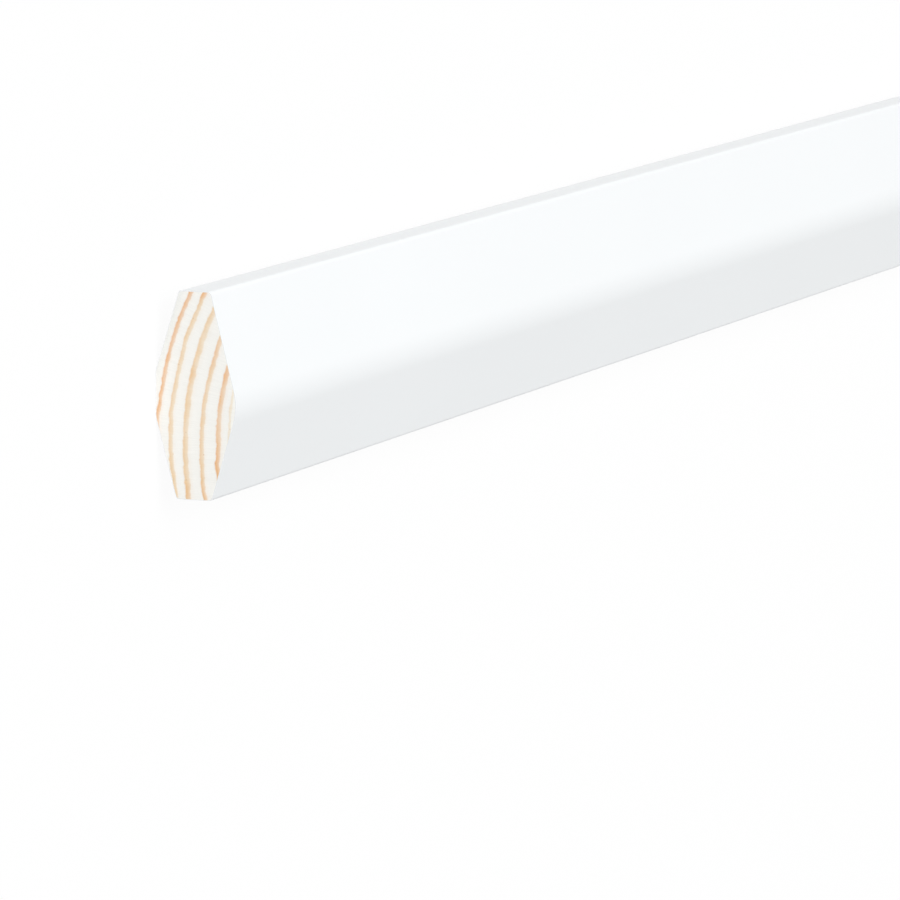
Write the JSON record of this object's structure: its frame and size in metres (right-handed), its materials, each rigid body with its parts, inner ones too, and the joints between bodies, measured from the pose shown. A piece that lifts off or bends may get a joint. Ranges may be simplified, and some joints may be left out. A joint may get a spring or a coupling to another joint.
{
  "type": "cornice moulding",
  "caption": "Slim six-sided cornice moulding of solid pine, coated white, with a flat bevelled back, two narrow flat edges and a soft rounded nose just below the middle of its front.",
  "frame": {"origin": "centre of the back flat at mid-length, which is what the moulding lies on", "axes": "+X along the length, +Y from the lower edge to the upper edge, +Z from the back flat to the crest of the nose"},
  "size_m": [2.4, 0.036, 0.015],
  "materials": {
    "coated_pine": "satin white coating on every long face, bare pale pine end grain on the two sawn ends"
  },
  "bodies": {
    "root": {"cornice_moulding": "coated_pine"}
  },
  "joints": []
}
